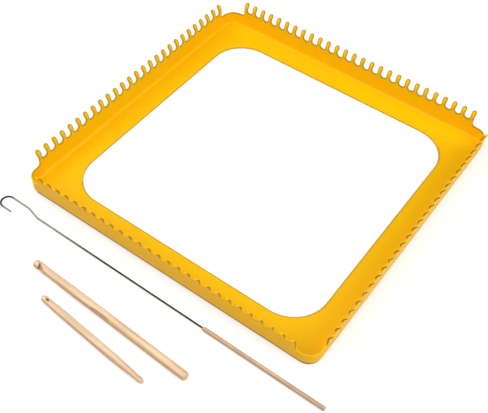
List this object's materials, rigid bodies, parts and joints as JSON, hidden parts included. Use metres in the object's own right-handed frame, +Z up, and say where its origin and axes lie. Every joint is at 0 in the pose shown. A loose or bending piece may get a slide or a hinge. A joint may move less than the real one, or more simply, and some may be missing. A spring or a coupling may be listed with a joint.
{
  "type": "potholder loom with hand tools",
  "caption": "Square pressed-metal potholder loom with outward-curving pegs on its four walls, shown with a cranked wire weaving hook, a wooden crochet hook and a wooden weaving needle.",
  "frame": {"origin": "centre of the square loom at the level of the surface it rests on", "axes": "+Z up, +X along the front wall to the right, +Y from the front wall with the loose tools before it towards the back wall"},
  "size_m": [0.305, 0.3592, 0.0269],
  "materials": {
    "loom_coat": "smooth satin-gloss yellow coating on pressed steel",
    "hook_steel": "drawn steel wire",
    "handle_wood": "sanded pinkish-brown hardwood",
    "crochet_wood": "sanded pale birch",
    "needle_wood": "sanded pale birch"
  },
  "bodies": {
    "loom": {"loom_pan": "loom_coat", "peg_row_front": "loom_coat", "peg_row_right": "loom_coat", "peg_row_back": "loom_coat", "peg_row_left": "loom_coat"},
    "weaving_hook": {"hook_wire": "hook_steel", "hook_handle": "handle_wood"},
    "crochet_hook": {"crochet_hook": "crochet_wood"},
    "weaving_needle": {"weaving_needle": "needle_wood"}
  },
  "joints": [
    {"name": "weaving_hook_lift", "type": "slide", "parent": "loom", "child": "weaving_hook", "axis": [0, 0, 1], "range_m": [0, 0.1]},
    {"name": "crochet_hook_lift", "type": "slide", "parent": "loom", "child": "crochet_hook", "axis": [0, 0, 1], "range_m": [0, 0.1]},
    {"name": "weaving_needle_lift", "type": "slide", "parent": "loom", "child": "weaving_needle", "axis": [0, 0, 1], "range_m": [0, 0.1]}
  ]
}
